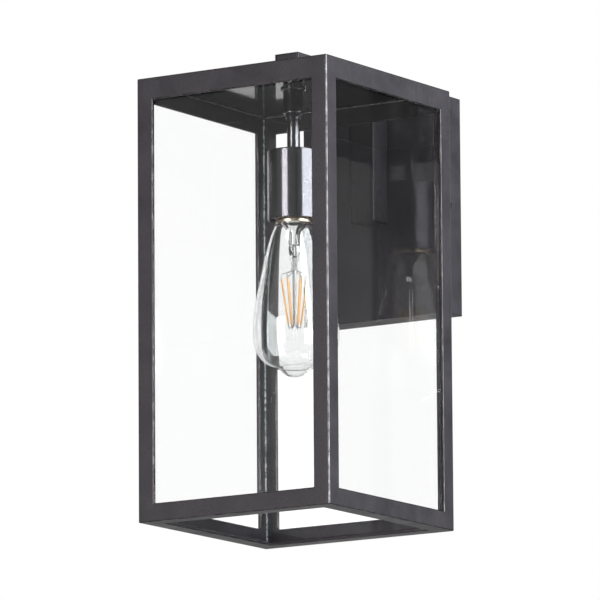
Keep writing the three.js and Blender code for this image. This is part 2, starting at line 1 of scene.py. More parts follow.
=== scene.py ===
"""Outdoor wall lantern: the looks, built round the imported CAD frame.

Metres, +Z up. The origin is on the wall at the canopy's middle; the lantern faces -Y.
"""

import itertools
import math

import bmesh
import bpy
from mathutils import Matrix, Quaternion, Vector


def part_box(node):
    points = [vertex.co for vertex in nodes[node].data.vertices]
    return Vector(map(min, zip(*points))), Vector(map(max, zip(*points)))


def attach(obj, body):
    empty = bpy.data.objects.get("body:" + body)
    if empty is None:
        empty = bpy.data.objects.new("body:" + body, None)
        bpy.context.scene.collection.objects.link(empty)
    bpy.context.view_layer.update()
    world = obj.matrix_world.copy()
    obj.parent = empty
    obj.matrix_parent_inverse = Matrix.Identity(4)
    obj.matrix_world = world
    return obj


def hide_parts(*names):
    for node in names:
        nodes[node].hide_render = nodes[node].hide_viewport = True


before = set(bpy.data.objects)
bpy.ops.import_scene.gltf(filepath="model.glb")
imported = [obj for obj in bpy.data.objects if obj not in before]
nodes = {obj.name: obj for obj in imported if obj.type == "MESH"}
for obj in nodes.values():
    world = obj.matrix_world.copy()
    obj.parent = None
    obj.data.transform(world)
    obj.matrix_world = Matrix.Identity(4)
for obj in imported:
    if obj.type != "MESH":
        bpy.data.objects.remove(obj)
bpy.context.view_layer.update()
scene = bpy.context.scene
MM = 0.001
SAME_PLACE = 1e-6  # planes closer than this are one
ON_AXIS = 1e-7  # a smaller radius is a point on the axis
THREAD_PITCH = 3.63 * MM  # E26 lamp base and its socket
EDGE, CEILING, CORNER_HIGHLIGHT, SEAM_HIGHLIGHT = range(1, 5)  # material slots after the first


# ---------------------------------------------------------------- material helpers


def srgb(red, green, blue):
    """Linear colour from 0-255 sRGB numbers."""
    return tuple(
        c / 12.92 if c <= 0.04045 else ((c + 0.055) / 1.055) ** 2.4
        for c in (red / 255, green / 255, blue / 255)
    )


class Shader:
    """A material with a Principled shader, and short ways to add procedural detail to it."""

    def __init__(self, name, **settings):
        self.material = bpy.data.materials.new(name)
        self.material.use_nodes = True
        self.tree = self.material.node_tree
        self.tree.nodes.clear()
        self.output = self.tree.nodes.new("ShaderNodeOutputMaterial")
        self.bsdf = self.tree.nodes.new("ShaderNodeBsdfPrincipled")
        self.link(self.bsdf.outputs["BSDF"], self.output.inputs["Surface"])
        self.coordinates = self.tree.nodes.new("ShaderNodeTexCoord").outputs["Object"]
        for key, value in settings.items():
            self.set(key.replace("_", " "), value)

    def link(self, start, end):
        self.tree.links.new(start, end)

    def set(self, socket, value):
        found = next(s for s in self.bsdf.inputs if s.name.lower() == socket.lower())
        if hasattr(value, "is_linked"):
            self.link(value, found)
        elif isinstance(value, tuple):
            found.default_value = (*value, 1)
        else:
            found.default_value = value

    def stretched(self, x, y, z):
        """Object coordinates scaled along each axis."""
        mapping = self.tree.nodes.new("ShaderNodeMapping")
        mapping.inputs["Scale"].default_value = (x, y, z)
        self.link(self.coordinates, mapping.inputs["Vector"])
        return mapping.outputs["Vector"]

    def noise(self, scale, detail=4.0, roughness=0.55, distortion=0.0, vector=None):
        node = self.tree.nodes.new("ShaderNodeTexNoise")
        node.inputs["Scale"].default_value = scale
        node.inputs["Detail"].default_value = detail
        node.inputs["Roughness"].default_value = roughness
        node.inputs["Distortion"].default_value = distortion
        self.link(vector or self.coordinates, node.inputs["Vector"])
        return node.outputs["Fac"]

    def ramp(self, factor, *stops):
        node = self.tree.nodes.new("ShaderNodeValToRGB")
        elements = node.color_ramp.elements
        while len(elements) < len(stops):
            elements.new(0.5)
        for element, (position, colour) in zip(elements, stops):
            element.position = position
            element.color = (*colour, 1)
        self.link(factor, node.inputs["Fac"])
        return node.outputs["Color"]

    def spread(self, factor, low, high, start=0.3, end=0.7):
        """A noise between start and end, made a number between low and high."""
        node = self.tree.nodes.new("ShaderNodeMapRange")
        for socket, value in (("From Min", start), ("From Max", end), ("To Min", low), ("To Max", high)):
            node.inputs[socket].default_value = value
        self.link(factor, node.inputs["Value"])
        return node.outputs["Result"]

    def mix(self, factor, first, second, how="MIX"):
        node = self.tree.nodes.new("ShaderNodeMix")
        node.data_type = "RGBA"
        node.blend_type = how
        sockets = [s for s in node.inputs if s.type == "RGBA"]
        for socket, value in zip(sockets, (first, second)):
            if hasattr(value, "is_linked"):
                self.link(value, socket)
            else:
                socket.default_value = (*value, 1)
        if hasattr(factor, "is_linked"):
            self.link(factor, node.inputs[0])
        else:
            node.inputs[0].default_value = factor
        return next(s for s in node.outputs if s.type == "RGBA")

    def add(self, first, second):
        node = self.tree.nodes.new("ShaderNodeMath")
        for socket, value in zip(node.inputs, (first, second)):
            if hasattr(value, "is_linked"):
                self.link(value, socket)
            else:
                socket.default_value = value
        return node.outputs["Value"]

    def bump(self, height, strength, distance):
        node = self.tree.nodes.new("ShaderNodeBump")
        node.inputs["Strength"].default_value = strength
        node.inputs["Distance"].default_value = distance
        self.link(height, node.inputs["Height"])
        self.link(node.outputs["Normal"], self.bsdf.inputs["Normal"])

    def lets_light_through(self, share=1.0):
        """Shadow rays go straight through and keep this share of their light.

        Lamps outside then light what is inside; a share below 1 dims what stands behind the glass.
        """
        clear = self.tree.nodes.new("ShaderNodeBsdfTransparent")
        clear.inputs["Color"].default_value = (share, share, share, 1)
        path = self.tree.nodes.new("ShaderNodeLightPath")
        mixed = self.tree.nodes.new("ShaderNodeMixShader")
        self.link(path.outputs["Is Shadow Ray"], mixed.inputs["Fac"])
        self.link(self.bsdf.outputs["BSDF"], mixed.inputs[1])
        self.link(clear.outputs["BSDF"], mixed.inputs[2])
        self.link(mixed.outputs["Shader"], self.output.inputs["Surface"])


# ---------------------------------------------------------------- materials


def painted(name, dark, middle, light, low, high, metallic=0.35, grain=0.25, fleck=(0.72, 1.12)):
    """Baked-on metal paint: cloudy tone, fine orange peel and a roughness that varies with it."""
    shader = Shader(name, metallic=metallic)
    cloud = shader.noise(38, 5, 0.6, 0.4)
    speck = shader.noise(900, 2, 0.5)
    tone = shader.ramp(cloud, (0.28, dark), (0.52, middle), (0.78, light))
    flecks = shader.ramp(speck, (0.35, (fleck[0],) * 3), (0.62, (fleck[1],) * 3))
    shader.set("base color", shader.mix(1.0, tone, flecks, "MULTIPLY"))
    shader.set("roughness", shader.spread(cloud, low, high))
    shader.bump(shader.add(speck, shader.noise(260, 3, 0.5)), grain, 0.0001)
    return shader


def worn_and_highlight_edges(name, dark, bare, low, high, start=0.5, end=0.72):
    """Paint burnished smooth along an arris, rubbed through to bright metal here and there; the lighter
    colour is partly wear, partly a painted highlight.
    """
    shader = Shader(name, metallic=0.7)
    patch = shader.noise(120, 6, 0.7, 0.6)
    shader.set("base color", shader.ramp(patch, (start, dark), (end, bare)))
    shader.set("roughness", shader.spread(patch, high, low))
    shader.bump(shader.noise(700, 3), 0.08, 0.0001)
    return shader


def polished(name, colour, other, low, high, scale=60, stretch=(1, 1, 1), grain=0.02):
    """Plated or turned metal with a faint haze and fine lines along the stretched axis."""
    shader = Shader(name, metallic=1.0)
    vector = shader.stretched(*stretch)
    haze = shader.noise(scale, 5, 0.6, 0.2, vector)
    shader.set("base color", shader.ramp(haze, (0.3, colour), (0.7, other)))
    shader.set("roughness", shader.spread(haze, low, high))
    shader.bump(shader.noise(scale * 12, 2, 0.5, 0.0, vector), grain, 0.00005)
    return shader


def plastic(name, colour, other, low, high, scale=140, grain=0.06):
    shader = Shader(name)
    mottle = shader.noise(scale, 4, 0.55)
    shader.set("base color", shader.ramp(mottle, (0.3, colour), (0.7, other)))
    shader.set("roughness", shader.spread(mottle, low, high))
    shader.bump(shader.noise(scale * 8, 2), grain, 0.0001)
    return shader


def clear_glass(name, tint, low, high, ior=1.5, waves=0.01, scale=14, share=1.0):
    shader = Shader(name, transmission_weight=1.0, ior=ior)
    film = shader.noise(scale, 4, 0.6)
    paler = tuple(min(1, c * 1.01) for c in tint)
    shader.set("base color", shader.ramp(film, (0.3, tint), (0.7, paler)))
    shader.set("roughness", shader.spread(film, low, high))
    shader.bump(shader.noise(scale, 2), waves, 0.0005)
    shader.lets_light_through(share)
    return shader


def cut_glass(name):
    """Ground edge of a sheet: milky, with dark nicks and chips along it; the chips are painted near white as
    glints.
    """
    shader = Shader(name, transmission_weight=0.15, ior=1.5)
    glint_chips = shader.noise(260, 5, 0.7, 0.8)
    nick = srgb(60, 78, 84)
    milky = srgb(150, 170, 172)
    # Near-white chips: painted glints along the ground edge
    glint_chip = srgb(252, 254, 254)
    shader.set("base color", shader.ramp(glint_chips, (0.42, nick), (0.5, milky), (0.56, glint_chip)))
    shader.set("roughness", shader.spread(glint_chips, 0.5, 0.15))
    shader.bump(glint_chips, 0.5, 0.0004)
    shader.lets_light_through()
    return shader


paint = painted("frame_paint", srgb(34, 31, 37), srgb(41, 38, 44), srgb(49, 46, 51), 0.42, 0.58)
# Lighter arrises of frame, arm, canopy and screws: partly wear, partly painted highlight
edge_wear_and_highlight = worn_and_highlight_edges("frame_edge_wear_and_highlight", srgb(54, 51, 54), srgb(104, 100, 98), 0.2, 0.3, 0.46, 0.7)
# Lighter outer corners of the posts: partly rubbed wear, partly a painted highlight line
corner_wear_and_highlight = worn_and_highlight_edges(
    "frame_corner_wear_and_highlight", srgb(70, 69, 73), srgb(124, 124, 126), 0.2, 0.28, start=0.4, end=0.66
)
# Light brownish line where the rails meet the ceiling: painted highlight
ceiling_seam_highlight = worn_and_highlight_edges(
    "ceiling_seam_highlight", srgb(84, 76, 72), srgb(176, 164, 152), 0.3, 0.5, start=0.4, end=0.62
)
# Glossy dark ceiling paint; its bluer cast than the frame paint is painted shade
ceiling = painted(
    "ceiling_paint_and_shade", srgb(30, 32, 37), srgb(38, 40, 45), srgb(50, 51, 56), 0.05, 0.1,
    metallic=0.55, grain=0.002, fleck=(0.97, 1.03),
)
# The share is given: real glass lets through more, about 0.92
pane_face = clear_glass("pane_glass", (0.992, 0.997, 0.996), 0.0, 0.004, share=0.5)
pane_edge = cut_glass("pane_cut_edge")
bulb_glass = clear_glass("bulb_glass", (0.965, 0.97, 0.97), 0.0, 0.004, 1.52, 0.02, 30)
black_chrome = polished(
    "black_chrome", srgb(84, 84, 88), srgb(92, 92, 96), 0.13, 0.19, 30, (1, 1, 0.2), 0.003
)
zinc = polished("zinc_plate", srgb(176, 178, 180), srgb(200, 200, 198), 0.22, 0.4, 160, grain=0.1)
brass = polished("brass", srgb(196, 146, 82), srgb(222, 178, 110), 0.18, 0.3, 90, (1, 1, 4), 0.02)
rubber = plastic("gasket_rubber", srgb(26, 26, 28), srgb(36, 36, 38), 0.7, 0.9)
porcelain = plastic("porcelain", srgb(226, 222, 210), srgb(240, 237, 228), 0.15, 0.28, 60, 0.02)
base_plating = polished(
    "lamp_base_plating", srgb(190, 172, 148), srgb(214, 200, 180), 0.22, 0.34, 90, (1, 1, 4), 0.02
)
black_glass = plastic("vitrite", srgb(16, 16, 18), srgb(28, 27, 30), 0.08, 0.16, 90, 0.02)
lead_black = plastic("lead_black", srgb(18, 18, 19), srgb(30, 30, 31), 0.38, 0.55, 200)
lead_white = plastic("lead_white", srgb(226, 225, 219), srgb(238, 237, 232), 0.38, 0.55, 200)
lead_green = plastic("lead_green", srgb(34, 112, 58), srgb(46, 134, 70), 0.38, 0.55, 200)
orange = plastic("connector_plastic", srgb(206, 110, 38), srgb(222, 128, 52), 0.32, 0.5, 200)
phosphor = plastic("phosphor", srgb(206, 152, 84), srgb(226, 184, 126), 0.4, 0.6, 1500, 0.2)
wire_metal = polished("lamp_wire_metal", srgb(150, 150, 152), srgb(190, 190, 190), 0.2, 0.35, 400)


# ---------------------------------------------------------------- mesh helpers


def new_object(name, mesh, *materials):
    obj = bpy.data.objects.new(name, mesh)
    scene.collection.objects.link(obj)
    for shader in materials:
        mesh.materials.append(shader.material)
    return obj


def weighted(obj):
    """Smooth shading that keeps flat faces flat between their rounded edges."""
    obj.data.shade_smooth()
    modifier = obj.modifiers.new("face_weighted", "WEIGHTED_NORMAL")
    modifier.weight = 80
    modifier.keep_sharp = True
    return obj


def place(obj, body, slot, *replaced):
    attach(obj, body)
    if replaced:
        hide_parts(*replaced)
    return obj


def lattice(xs, ys, zs, solid):
    """A body of box cells between the given planes: solid(x, y, z) says whether a cell is filled."""
    bm = bmesh.new()
    corners = {}
    axes = (xs, ys, zs)

    def filled(cell):
        if any(not 0 <= c < len(axis) - 1 for c, axis in zip(cell, axes)):
            return False
        return solid(*((axis[c] + axis[c + 1]) / 2 for c, axis in zip(cell, axes)))

    def corner(index):
        if index not in corners:
            corners[index] = bm.verts.new([axis[i] for i, axis in zip(index, axes)])
        return corners[index]

    for cell in itertools.product(*(range(len(planes) - 1) for planes in axes)):
        if not filled(cell):
            continue
        for axis in range(3):
            for side in (0, 1):
                beside = list(cell)
                beside[axis] += 1 if side else -1
                if filled(beside):
                    continue
                a, b = (axis + 1) % 3, (axis + 2) % 3
                ring = []
                for da, db in ((0, 0), (1, 0), (1, 1), (0, 1)):
                    index = list(cell)
                    index[axis] += side
                    index[a] += da
                    index[b] += db
                    ring.append(corner(tuple(index)))
                bm.faces.new(ring if side else ring[::-1])
    return bm


def chamfer(bm, edges, width, segments, material=-1):
    bmesh.ops.bevel(
        bm, geom=list(edges), offset=width, offset_type="OFFSET", segments=segments, profile=0.5,
        affect="EDGES", clamp_overlap=False, loop_slide=True, material=material,
    )


def sharp_edges(bm, degrees=40):
    return [e for e in bm.edges if len(e.link_faces) == 2 and e.calc_face_angle() > math.radians(degrees)]


def to_mesh(bm, name):
    bmesh.ops.recalc_face_normals(bm, faces=bm.faces)
    mesh = bpy.data.meshes.new(name)
    bm.to_mesh(mesh)
    bm.free()
    return mesh


def cut_away(obj, bm):
    """Takes the closed shape in bm out of the object's mesh."""
    tool = bpy.data.objects.new("tool", to_mesh(bm, "tool"))
    scene.collection.objects.link(tool)
    modifier = obj.modifiers.new("hole", "BOOLEAN")
    modifier.object = tool
    modifier.solver = "EXACT"
    bpy.context.view_layer.update()
    mesh = bpy.data.meshes.new_from_object(obj.evaluated_get(bpy.context.evaluated_depsgraph_get()))
    obj.modifiers.remove(modifier)
    obj.data = mesh
    bpy.data.objects.remove(tool)


def bored(obj, *holes):
    """Cuts round holes: each is (start, end, radius)."""
    for start, end, radius in holes:
        bm = bmesh.new()
        start, end = Vector(start), Vector(end)
        bmesh.ops.create_cone(
            bm, cap_ends=True, segments=48, radius1=radius, radius2=radius, depth=(end - start).length
        )
        turn = (end - start).to_track_quat("Z", "Y").to_matrix().to_4x4()
        turn.translation = (start + end) / 2
        bm.transform(turn)
        cut_away(obj, bm)
    return obj


def rounded(points, radius, steps=4):
    """A closed outline of (r, z) points with its corners off the axis rounded."""
    made = []
    count = len(points)
    for i, point in enumerate(points):
        here = Vector(point)
        before = Vector(points[i - 1])
        after = Vector(points[(i + 1) % count])
        if here.x < ON_AXIS:
            made.append(tuple(here))
            continue
        back = before - here
        forward = after - here
        size = min(radius, 0.45 * back.length, 0.45 * forward.length)
        start = here + back.normalized() * size
        end = here + forward.normalized() * size
        for k in range(steps + 1):
            t = k / steps
            made.append(tuple(start * (1 - t) ** 2 + here * 2 * t * (1 - t) + end * t**2))
    return made


def lathe(name, profile, axis, segments=96):
    """A closed (r, z) outline turned about the vertical line through axis."""
    bm = bmesh.new()
    rings = []
    for radius, z in profile:
        if radius < ON_AXIS:
            rings.append([bm.verts.new((axis[0], axis[1], z))])
            continue
        rings.append([
            bm.verts.new((
                axis[0] + radius * math.cos(2 * math.pi * i / segments),
                axis[1] + radius * math.sin(2 * math.pi * i / segments),
                z,
            ))
            for i in range(segments)
        ])
    for first, second in zip(rings, rings[1:] + rings[:1]):
        if len(first) == len(second) == 1:
            continue
        for i in range(segments):
            j = (i + 1) % segments
            ring = [
                first[i % len(first)], first[j % len(first)],
                second[j % len(second)], second[i % len(second)],
            ]
            bm.faces.new(list(dict.fromkeys(ring)))
    return to_mesh(bm, name)


def smooth_route(points, per_span=8):
    """A Catmull-Rom curve through the points."""
    points = [Vector(p) for p in points]
    ends = [points[0] * 2 - points[1], *points, points[-1] * 2 - points[-2]]
    route = []
    for a, b, c, d in zip(ends, ends[1:], ends[2:], ends[3:]):
        for k in range(per_span):
            t = k / per_span
            route.append(0.5 * (
                2 * b + (c - a) * t + (2 * a - 5 * b + 4 * c - d) * t**2 + (3 * b - a - 3 * c + d) * t**3
            ))
    route.append(points[-1])
    return route


def strand(bm, route, radius, sides=12):
    """A round wire along the route, added to bm, with rounded ends."""
    normal = None
    rings = []
    last = len(route) - 1
    for i, point in enumerate(route):
        along = (route[min(i + 1, last)] - route[max(i - 1, 0)]).normalized()
        if normal is None:
            normal = along.orthogonal().normalized()
        normal = (normal - along * normal.dot(along)).normalized()
        other = along.cross(normal)
        size = radius * (0.75 if i in (0, last) else 1)
        rings.append([
            bm.verts.new(point + (normal * math.cos(a) + other * math.sin(a)) * size)
            for a in (2 * math.pi * k / sides for k in range(sides))
        ])
    for first, second in zip(rings, rings[1:]):
        for i in range(sides):
            j = (i + 1) % sides
            bm.faces.new((first[i], first[j], second[j], second[i]))
    bm.faces.new(rings[0][::-1])
    bm.faces.new(rings[-1])


# ---------------------------------------------------------------- welded frame with its roof

post_low, post_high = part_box("post_front_left")
roof_low, roof_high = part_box("roof_plate")
rail_low, rail_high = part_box("top_rail_front")
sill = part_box("bottom_rail_front")[1].z
leg = post_high.x - post_low.x
wall = rail_high.y - rail_low.y
left, right = roof_low.x, roof_high.x
front, back = roof_low.y, roof_high.y
bottom, roof_under, roof_top = post_low.z, roof_low.z, roof_high.z
rail_under = rail_low.z


def in_frame(x, y, z):
    if z > roof_under:
        return True
    in_wall = min(x - left, right - x, y - front, back - y) < wall
    by_leg_x = min(x - left, right - x) < leg
    by_leg_y = min(y - front, back - y) < leg
    if z < bottom + wall and (by_leg_x or by_leg_y):
        return True
    return in_wall and (z < sill or z > rail_under or (by_leg_x and by_leg_y))


body = lattice(
    [left, left + wall, left + leg, right - leg, right - wall, right],
    [front, front + wall, front + leg, back - leg, back - wall, back],
    [bottom, bottom + wall, sill, rail_under, roof_under, roof_top],
    in_frame,
)


def on_outer_corner(vert):
    from_side = min(vert.co.x - left, right - vert.co.x)
    from_front = min(vert.co.y - front, back - vert.co.y)
    return from_side < SAME_PLACE and from_front < SAME_PLACE


def is_upright(edge):
    return abs(edge.verts[0].co.z - edge.verts[1].co.z) > SAME_PLACE


outer_posts = [e for e in body.edges if all(on_outer_corner(v) for v in e.verts) and is_upright(e)]
corner_round = 0.9 * MM
arris_round = 0.85 * MM
seam_height = 1.0 * MM
# The rounded outer corners of the posts get a lighter colour: partly wear, partly painted highlight
chamfer(body, outer_posts, corner_round, 4, material=CORNER_HIGHLIGHT)
# All other arrises get the lighter edge colour: partly wear, partly painted highlight
chamfer(body, sharp_edges(body), arris_round, 3, material=EDGE)
body.faces.ensure_lookup_table()
for face in body.faces:
    middle = face.calc_center_median()
    # The arris faces along the ceiling seam get the painted highlight colour
    in_seam_highlight = roof_under - seam_height < middle.z < roof_under
    if face.normal.z < -0.9 and abs(middle.z - roof_under) < 0.1 * MM:
        face.material_index = CEILING
    elif face.material_index == EDGE and face.normal.z < -0.1 and in_seam_highlight:
        face.material_index = SEAM_HIGHLIGHT
lamp_axis = ((left + right) / 2, (front + back) / 2)
pipe_low, pipe_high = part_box("roof_nipple")
pipe_hole = (pipe_high.x - pipe_low.x) / 2 + 0.3 * MM
welded = new_object("welded_frame", to_mesh(body, "welded_frame"), paint, edge_wear_and_highlight, ceiling,
                    corner_wear_and_highlight, ceiling_seam_highlight)
bored(welded, ((*lamp_axis, roof_under - 0.01), (*lamp_axis, roof_top + 0.01), pipe_hole))
weighted(welded)
place(
    welded, "lantern", "frame_metal",
    *(n for n in nodes if n.startswith(("post_", "top_rail_", "bottom_rail_"))), "roof_plate",
)

# ---------------------------------------------------------------- panes

for name in ("pane_front", "pane_back", "pane_left", "pane_right"):
    low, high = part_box(name)
    sheet = lattice([low.x, high.x], [low.y, high.y], [low.z, high.z], lambda x, y, z: True)
    thin = 0 if high.x - low.x < high.y - low.y else 1
    chamfer(sheet, sharp_edges(sheet), 0.7 * MM, 2, material=EDGE)
    for face in sheet.faces:
        if abs(face.normal[thin]) < 0.9:
            face.material_index = EDGE
    pane = new_object(f"{name}_glass", to_mesh(sheet, name), pane_face, pane_edge)
    place(pane, "lantern", "pane_glass", name)

# ---------------------------------------------------------------- arm

beam_low, beam_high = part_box("arm_beam")
riser_low, riser_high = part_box("arm_riser")
end_low, end_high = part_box("beam_end_cap")
foot_low, foot_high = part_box("riser_end_cap")
arm_wall = foot_high.z - foot_low.z
wire_hole = 6 * MM
wire_hole_z = 30 * MM


def in_arm(x, y, z):
    outer = z > beam_low.z or y > riser_low.y
    in_beam_bore = z > beam_low.z + arm_wall and y > end_high.y
    in_riser_bore = y > riser_low.y + arm_wall and z > foot_high.z
    inside = abs(x) < beam_high.x - arm_wall and z < beam_high.z - arm_wall and y < riser_high.y - arm_wall
    return outer and not (inside and (in_beam_bore or in_riser_bore))


arm = lattice(
    [beam_low.x, beam_low.x + arm_wall, beam_high.x - arm_wall, beam_high.x],
    [end_low.y, end_high.y, riser_low.y, riser_low.y + arm_wall, riser_high.y - arm_wall, riser_high.y],
    [foot_low.z, foot_high.z, beam_low.z, beam_low.z + arm_wall, beam_high.z - arm_wall, beam_high.z],
    in_arm,
)
long_edges = [
    e for e in sharp_edges(arm)
    if any(abs(abs(v.co.x) - beam_high.x) < SAME_PLACE for v in e.verts)
]
chamfer(arm, long_edges, 1.1 * MM, 3, material=EDGE)
arm_tube = new_object("arm_square_tube", to_mesh(arm, "arm_square_tube"), paint, edge_wear_and_highlight)
bored(
    arm_tube,
    ((*lamp_axis, beam_low.z - 0.01), (*lamp_axis, beam_low.z + 0.004), pipe_hole),
    ((0, riser_high.y - 0.004, wire_hole_z), (0, riser_high.y + 0.01, wire_hole_z), wire_hole),
)
weighted(arm_tube)
place(arm_tube, "lantern", "frame_metal", "arm_beam", "arm_riser", "beam_end_cap", "riser_end_cap")

# ---------------------------------------------------------------- canopy

can_low, can_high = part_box("canopy")
can_wall = 1.5 * MM
screw_low, screw_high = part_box("canopy_screw_right")
screw_y = (screw_low.y + screw_high.y) / 2
screw_hole = 2.1 * MM


def in_canopy(x, y, z):
    inside_x = can_low.x + can_wall < x < can_high.x - can_wall
    inside_z = can_low.z + can_wall < z < can_high.z - can_wall
    return not (inside_x and inside_z and y > can_low.y + can_wall)


pan = lattice(
    [can_low.x, can_low.x + can_wall, can_high.x - can_wall, can_high.x],
    [can_low.y, can_low.y + can_wall, can_high.y],
    [can_low.z, can_low.z + can_wall, can_high.z - can_wall, can_high.z],
    in_canopy,
)


def on_outside(edge):
    return all(
        min(v.co.x - can_low.x, can_high.x - v.co.x, v.co.z - can_low.z, can_high.z - v.co.z) < SAME_PLACE
        for v in edge.verts
    ) and any(v.co.y < can_low.y + SAME_PLACE for v in edge.verts)


chamfer(pan, [e for e in sharp_edges(pan) if on_outside(e)], 1.2 * MM, 3, material=EDGE)
chamfer(pan, sharp_edges(pan), 0.25 * MM, 1, material=EDGE)
canopy = new_object("canopy_pan", to_mesh(pan, "canopy_pan"), paint, edge_wear_and_highlight)
bored(
    canopy,
    ((0, can_low.y - 0.01, wire_hole_z), (0, can_low.y + 0.004, wire_hole_z), wire_hole),
    ((can_low.x - 0.01, screw_y, 0), (can_low.x + 0.004, screw_y, 0), screw_hole),
    ((can_high.x - 0.004, screw_y, 0), (can_high.x + 0.01, screw_y, 0), screw_hole),
)
weighted(canopy)
place(canopy, "lantern", "frame_metal", "canopy")

# ---------------------------------------------------------------- screws of the canopy


def slotted_screw(name, node, axis, shank_radius, shader, slot, body):
    """Pan-head screw whose head points along axis (a unit Vector), with a thread and a driver slot."""
    low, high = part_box(node)
    middle = (low + high) / 2
    size = high - low
    long = max(range(3), key=lambda i: abs(axis[i]))
    wide = (long + 1) % 3
    head_radius = size[wide] / 2
    full = size[long]
    head = 1.8 * MM
    shank = full - head
    pitch = 0.8 * MM
    thread_start = 0.4 * MM
    without_thread = 1.2 * MM
    turns = int((shank - without_thread) / pitch)
    profile = [(0, 0), (shank_radius * 0.7, 0)]
    for k in range(turns):
        z = thread_start + k * pitch
        profile += [(shank_radius * 0.8, z), (shank_radius, z + pitch / 2)]
    profile += [
        (shank_radius * 0.8, thread_start + turns * pitch), (shank_radius * 0.8, shank), (head_radius, shank),
        (head_radius, shank + head * 0.4), (head_radius * 0.86, shank + head * 0.78),
        (head_radius * 0.5, full), (0, full),
    ]
    obj = new_object(name, lathe(name, rounded(profile, 0.12 * MM, 2), (0, 0), 40), shader)
    blade = lattice(
        [-head_radius * 1.2, head_radius * 1.2], [-0.4 * MM, 0.4 * MM],
        [full - 0.8 * MM, full + 1 * MM], lambda x, y, z: True,
    )
    cut_away(obj, blade)
    turn = axis.to_track_quat("Z", "Y").to_matrix().to_4x4()
    turn.translation = middle - axis * full / 2
    obj.data.transform(turn)
    weighted(obj)
    return place(obj, body, slot, node)


shank_radius = 1.8 * MM
for side, sign in (("left", -1), ("right", 1)):
    slotted_screw(
        f"canopy_side_screw_{side}", f"canopy_screw_{side}", Vector((sign, 0, 0)), shank_radius,
        edge_wear_and_highlight, "frame_metal", f"canopy_screw_{side}",
    )
slotted_screw(
    "earth_screw", "ground_screw", Vector((0, -1, 0)), shank_radius,
    lead_green, "earth_green", "lantern",
)

# ---------------------------------------------------------------- suspension and cup


def turned_piece(name, profile, shader, slot, *replaced, body="lantern", radius=0.4 * MM, segments=96):
    obj = new_object(name, lathe(name, rounded(profile, radius), lamp_axis, segments), shader)
    weighted(obj)
    return place(obj, body, slot, *replaced)


def ring_outline(node, bore):
    low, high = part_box(node)
    outer = (high.x - low.x) / 2
    return [(bore, low.z), (outer, low.z), (outer, high.z), (bore, high.z)]


collar_low, collar_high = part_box("ceiling_collar")
collar_radius = (collar_high.x - collar_low.x) / 2
turned_piece(
    "ceiling_collar_ring",
    [
        (pipe_hole, collar_low.z), (collar_radius - 1.2 * MM, collar_low.z),
        (collar_radius, collar_low.z + 1.0 * MM),
        (collar_radius, collar_high.z), (pipe_hole, collar_high.z),
    ],
    black_chrome, "dark_chrome", "ceiling_collar",
)
stem_bore = 3.4 * MM
for name, node, bore, rounding in (
    ("coupling_sleeve", "coupling", pipe_hole, 0.9 * MM),
    ("stem_ring", "stem_locknut", pipe_hole, 0.5 * MM),
    ("stem_tube", "stem", stem_bore, 0.3 * MM),
):
    outline = ring_outline(node, bore)
    turned_piece(name, outline, black_chrome, "dark_chrome", node, radius=rounding)

cup_low, cup_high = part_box("socket_cup")
cup_radius = (cup_high.x - cup_low.x) / 2
cup_wall = 1.0 * MM
turned_piece(
    "socket_cup_shell",
    [
        (pipe_hole, cup_high.z), (cup_radius, cup_high.z), (cup_radius, cup_low.z),
        (cup_radius - cup_wall, cup_low.z), (cup_radius - cup_wall, cup_high.z - cup_wall),
        (pipe_hole, cup_high.z - cup_wall),
    ],
    black_chrome, "dark_chrome", "socket_cup", radius=1.0 * MM, segments=160,
)

shell_low, shell_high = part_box("socket_shell")
shell_outer = (shell_high.x - shell_low.x) / 2


def socket_thread():
    """Rolled brass sleeve of the socket: the screw thread runs through both skins."""
    bm = bmesh.new()
    segments, levels = 96, 60
    skins = ([], [])
    for k in range(levels + 1):
        z = shell_low.z + (shell_high.z - shell_low.z) * k / levels
        fade = min(1, k / 5, (levels - k) / 5)
        rows = ([], [])
        for i in range(segments):
            angle = 2 * math.pi * i / segments
            wave = 0.12 * MM * (math.cos(2 * math.pi * z / THREAD_PITCH - angle) - 1) * fade
            for row, inset in zip(rows, (0, 0.15 * MM)):
                radius = shell_outer - inset + wave
                row.append(bm.verts.new((
                    lamp_axis[0] + radius * math.cos(angle), lamp_axis[1] + radius * math.sin(angle), z,
                )))
        for skin, row in zip(skins, rows):
            skin.append(row)
    rings = skins[0] + skins[1][::-1]
    for first, second in zip(rings, rings[1:] + rings[:1]):
        for i in range(segments):
            j = (i + 1) % segments
            bm.faces.new((first[i], first[j], second[j], second[i]))
    return to_mesh(bm, "socket_thread")


sleeve = new_object("socket_threaded_shell", socket_thread(), brass)
weighted(sleeve)
place(sleeve, "lantern", "brass", "socket_shell")

# ---------------------------------------------------------------- lamp

glass_low, glass_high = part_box("lamp_glass")
base_low, base_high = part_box("lamp_base")
mount_low, mount_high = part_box("lamp_mount")
lamp_radius = (glass_high.x - glass_low.x) / 2
skirt_radius = (base_high.x - base_low.x) / 2
base_radius = skirt_radius - 0.7 * MM
tip = glass_low.z
rim = base_low.z
bulb_height = rim - tip
neck = base_radius - 0.9 * MM
glass_wall = 0.7 * MM


def bezier(points, steps):
    points = [Vector(p) for p in points]
    made = []
    for k in range(1, steps + 1):
        t = k / steps
        row = points
        while len(row) > 1:
            row = [a * (1 - t) + b * t for a, b in zip(row, row[1:])]
        made.append(row[0])
    return made


